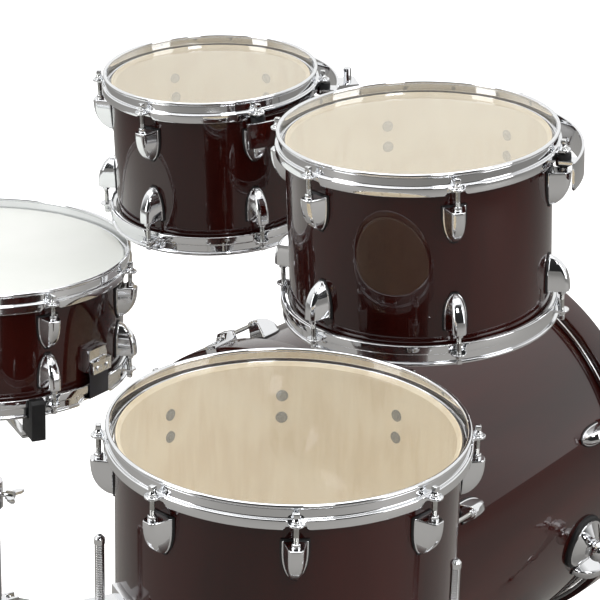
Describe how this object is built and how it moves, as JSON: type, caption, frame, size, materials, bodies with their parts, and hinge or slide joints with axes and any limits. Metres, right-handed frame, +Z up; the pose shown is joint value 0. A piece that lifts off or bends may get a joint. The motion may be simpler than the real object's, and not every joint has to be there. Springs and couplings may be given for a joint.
{
  "type": "acoustic drum kit",
  "caption": "Acoustic drum kit with bass drum, rack toms, floor tom and snare on a stand, in dark red lacquer with chrome hardware.",
  "frame": {"origin": "on the floor, at the middle of the whole kit's outline seen from above", "axes": "+Z up; the bass drum's axis lies along Y, with its pedal side and the player at +Y and the listeners at -Y; the player's left hand side is +X"},
  "size_m": [1.1984, 1.0984, 0.8952],
  "materials": {
    "lacquered_shell": "high-gloss dark red-brown lacquer over maple plies",
    "lacquered_hoop": "high-gloss dark red-brown lacquer",
    "coated_head": "white sprayed coating",
    "clear_head": "clear polyester film",
    "strap_plastic": "dark plastic strip",
    "wire_steel": "bright coiled steel",
    "rod_steel": "plated steel",
    "grip_rubber": "black moulded rubber over a plated steel arm",
    "chrome": "mirror chrome plate"
  },
  "bodies": {
    "bass_drum": {"bass_shell": "lacquered_shell", "bass_batter_head": "clear_head", "bass_front_head": "clear_head", "bass_hoops": "lacquered_hoop", "bass_lugs": "chrome", "bass_tension_rods": "rod_steel", "bass_claws": "chrome", "spur_brackets": "chrome", "tom_holder_base": "chrome"},
    "left_spur": {"spur_tube_left": "chrome"},
    "left_spur_rod": {"spur_rod_left": "chrome"},
    "right_spur": {"spur_tube_right": "chrome"},
    "right_spur_rod": {"spur_rod_right": "chrome"},
    "tom_holder": {"tom_holder_post": "chrome"},
    "small_arm": {"small_tom_arm": "chrome"},
    "large_arm": {"large_tom_arm": "chrome"},
    "small_tom": {"small_tom_shell": "lacquered_shell", "small_tom_batter_head": "clear_head", "small_tom_resonant_head": "clear_head", "small_tom_hoops": "chrome", "small_tom_lugs": "chrome", "small_tom_tension_rods": "rod_steel", "small_tom_suspension": "chrome"},
    "large_tom": {"large_tom_shell": "lacquered_shell", "large_tom_batter_head": "clear_head", "large_tom_resonant_head": "clear_head", "large_tom_hoops": "chrome", "large_tom_lugs": "chrome", "large_tom_tension_rods": "rod_steel", "large_tom_suspension": "chrome"},
    "floor_tom": {"floor_tom_shell": "lacquered_shell", "floor_tom_batter_head": "clear_head", "floor_tom_resonant_head": "clear_head", "floor_tom_hoops": "chrome", "floor_tom_lugs": "chrome", "floor_tom_tension_rods": "rod_steel", "floor_tom_leg_brackets": "chrome"},
    "floor_tom_leg_1": {"floor_tom_leg_a": "chrome"},
    "floor_tom_leg_2": {"floor_tom_leg_b": "chrome"},
    "floor_tom_leg_3": {"floor_tom_leg_c": "chrome"},
    "snare_drum": {"basket_hub": "chrome", "snare_shell": "lacquered_shell", "snare_batter_head": "coated_head", "snare_side_head": "clear_head", "snare_hoops": "chrome", "snare_lugs": "chrome", "snare_tension_rods": "rod_steel", "throw_off": "chrome", "butt_plate": "chrome"},
    "snare_wire_set": {"snare_wires": "wire_steel", "snare_straps": "strap_plastic"},
    "throw_lever": {"throw_off_lever": "chrome"},
    "snare_stand": {"stand_base_tube": "chrome"},
    "stand_leg_1": {"stand_leg_a": "chrome"},
    "stand_leg_2": {"stand_leg_b": "chrome"},
    "stand_leg_3": {"stand_leg_c": "chrome"},
    "stand_post": {"stand_top_tube": "chrome"},
    "basket_arm_1": {"basket_arm_a": "grip_rubber"},
    "basket_arm_2": {"basket_arm_b": "grip_rubber"},
    "basket_arm_3": {"basket_arm_c": "grip_rubber"}
  },
  "joints": [
    {"name": "right_spur_fold", "type": "hinge", "parent": "bass_drum", "child": "right_spur", "pos_m": [-0.28673, -0.41827, 0.21898], "axis": [0.8988, 0, -0.4384], "range_deg": [0, 115]},
    {"name": "left_spur_fold", "type": "hinge", "parent": "bass_drum", "child": "left_spur", "pos_m": [0.26477, -0.41827, 0.21898], "axis": [0.8988, 0, 0.4384], "range_deg": [0, 115]},
    {"name": "right_spur_length", "type": "slide", "parent": "right_spur", "child": "right_spur_rod", "axis": [0.3973, 0.4226, 0.8146], "range_m": [0, 0.05]},
    {"name": "left_spur_length", "type": "slide", "parent": "left_spur", "child": "left_spur_rod", "axis": [-0.3973, 0.4226, 0.8146], "range_m": [0, 0.05]},
    {"name": "tom_height", "type": "slide", "parent": "bass_drum", "child": "tom_holder", "axis": [0, 0, 1], "range_m": [0, 0.06]},
    {"name": "small_tom_tilt", "type": "hinge", "parent": "tom_holder", "child": "small_arm", "pos_m": [0.01702, -0.24827, 0.7648], "axis": [0.682, -0.7308, 0.0288], "range_deg": [0, 12]},
    {"name": "large_tom_tilt", "type": "hinge", "parent": "tom_holder", "child": "large_arm", "pos_m": [-0.03898, -0.24827, 0.7648], "axis": [-0.9929, -0.1123, 0.0385], "range_deg": [-4, 12]},
    {"name": "small_tom_swivel", "type": "hinge", "parent": "small_arm", "child": "small_tom", "pos_m": [0.06865, -0.30037, 0.80919], "axis": [0.0183, 0.0564, 0.9982], "range_deg": [-8, 8]},
    {"name": "large_tom_swivel", "type": "hinge", "parent": "large_arm", "child": "large_tom", "pos_m": [-0.16758, -0.25929, 0.84733], "axis": [0.0332, 0.0492, 0.9982], "range_deg": [-8, 8]},
    {"name": "floor_tom_lift", "type": "slide", "parent": "bass_drum", "child": "floor_tom", "axis": [0, 0, 1], "range_m": [0, 0.25]},
    {"name": "floor_tom_leg_height_1", "type": "slide", "parent": "floor_tom", "child": "floor_tom_leg_1", "axis": [0, 0, 1], "range_m": [-0.05, 0.06]},
    {"name": "floor_tom_leg_height_2", "type": "slide", "parent": "floor_tom", "child": "floor_tom_leg_2", "axis": [0, 0, 1], "range_m": [-0.05, 0.06]},
    {"name": "floor_tom_leg_height_3", "type": "slide", "parent": "floor_tom", "child": "floor_tom_leg_3", "axis": [0, 0, 1], "range_m": [-0.05, 0.06]},
    {"name": "snare_stand_move", "type": "slide", "parent": "bass_drum", "child": "snare_stand", "axis": [0.6691, 0.7431, 0], "range_m": [0, 0.3]},
    {"name": "stand_leg_fold_1", "type": "hinge", "parent": "snare_stand", "child": "stand_leg_1", "pos_m": [0.33272, 0.06233, 0.11], "axis": [0.9397, -0.342, 0], "range_deg": [0, 50]},
    {"name": "stand_leg_fold_2", "type": "hinge", "parent": "snare_stand", "child": "stand_leg_2", "pos_m": [0.3237, 0.1135, 0.11], "axis": [-0.766, -0.6428, 0], "range_deg": [0, 50]},
    {"name": "stand_leg_fold_3", "type": "hinge", "parent": "snare_stand", "child": "stand_leg_3", "pos_m": [0.37253, 0.09573, 0.11], "axis": [-0.1736, 0.9848, 0], "range_deg": [0, 50]},
    {"name": "snare_height", "type": "slide", "parent": "snare_stand", "child": "stand_post", "axis": [0, 0, 1], "range_m": [-0.03, 0]},
    {"name": "basket_tilt", "type": "hinge", "parent": "stand_post", "child": "snare_drum", "pos_m": [0.34298, 0.09052, 0.40491], "axis": [-0.8829, -0.4695, 0], "range_deg": [-1, 3]},
    {"name": "basket_arm_open_1", "type": "hinge", "parent": "snare_drum", "child": "basket_arm_1", "pos_m": [0.32341, 0.09913, 0.43142], "axis": [-0.4227, -0.9061, -0.0179], "range_deg": [0, 8]},
    {"name": "basket_arm_open_2", "type": "hinge", "parent": "snare_drum", "child": "basket_arm_2", "pos_m": [0.36137, 0.10246, 0.43097], "axis": [-0.5734, 0.8188, 0.0294], "range_deg": [0, 8]},
    {"name": "basket_arm_open_3", "type": "hinge", "parent": "snare_drum", "child": "basket_arm_3", "pos_m": [0.34526, 0.06793, 0.43029], "axis": [0.9961, 0.0873, -0.0116], "range_deg": [0, 8]},
    {"name": "throw_off_drop", "type": "hinge", "parent": "snare_drum", "child": "throw_lever", "pos_m": [0.53635, 0.10094, 0.55495], "axis": [-0.0748, 0.9968, 0.0272], "range_deg": [0, 80]},
    {"name": "snare_wires_drop", "type": "slide", "parent": "snare_drum", "child": "snare_wire_set", "axis": [-0.0139, 0.0262, -0.9996], "range_m": [0, 0.003]}
  ],
  "couplings": [
    {"joint": "basket_arm_open_2", "follows": "basket_arm_open_1", "ratio": 1},
    {"joint": "basket_arm_open_3", "follows": "basket_arm_open_1", "ratio": 1},
    {"joint": "snare_wires_drop", "follows": "throw_off_drop", "m_per_rad": 0.0021486}
  ]
}
